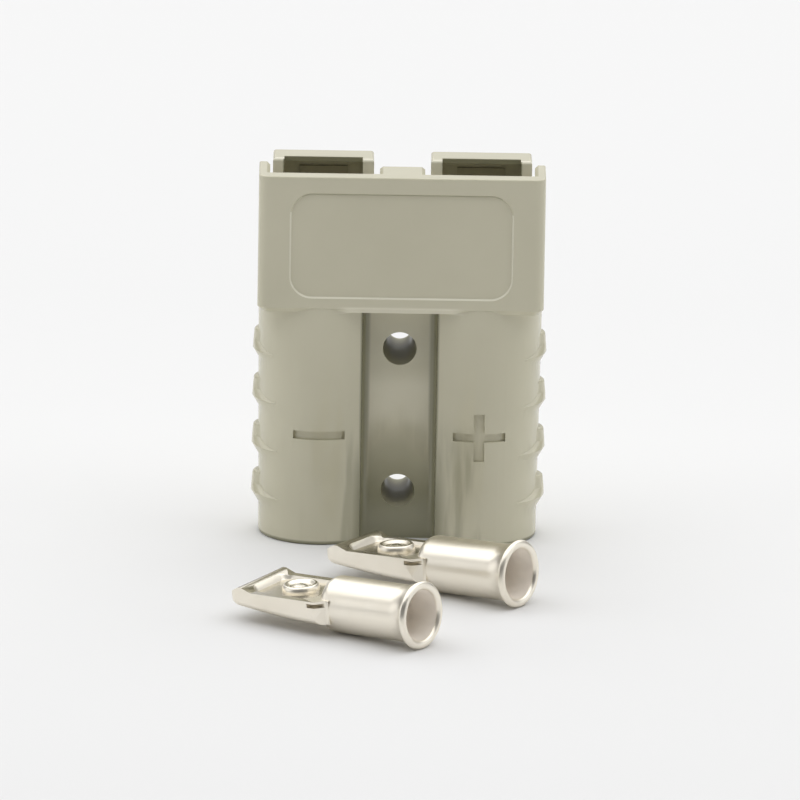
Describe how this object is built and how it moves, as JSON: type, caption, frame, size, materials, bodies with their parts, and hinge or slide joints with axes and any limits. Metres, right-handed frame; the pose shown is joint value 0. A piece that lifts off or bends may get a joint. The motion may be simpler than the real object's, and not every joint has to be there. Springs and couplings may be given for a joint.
{
  "type": "genderless power connector",
  "caption": "Genderless power connector housing with hooded mating end, tongues, leaf springs and ribbed wire barrels, with its silver-plated crimp contacts lying loose in front.",
  "frame": {"origin": "middle of the wire end of the housing, on the mating plane", "axes": "+Z runs from the wire end to the mating end, +Y runs from the hooded side to the back, +X runs to the right seen from the hooded side"},
  "size_m": [0.0384, 0.0661, 0.0475],
  "materials": {
    "housing": "moulded polycarbonate, warm grey, satin gloss",
    "spring": "stainless strip",
    "contact": "bright silver plate over copper"
  },
  "bodies": {
    "root": {"housing": "housing", "left_spring": "spring", "right_spring": "spring", "front_contact": "contact", "rear_contact": "contact"}
  },
  "joints": []
}
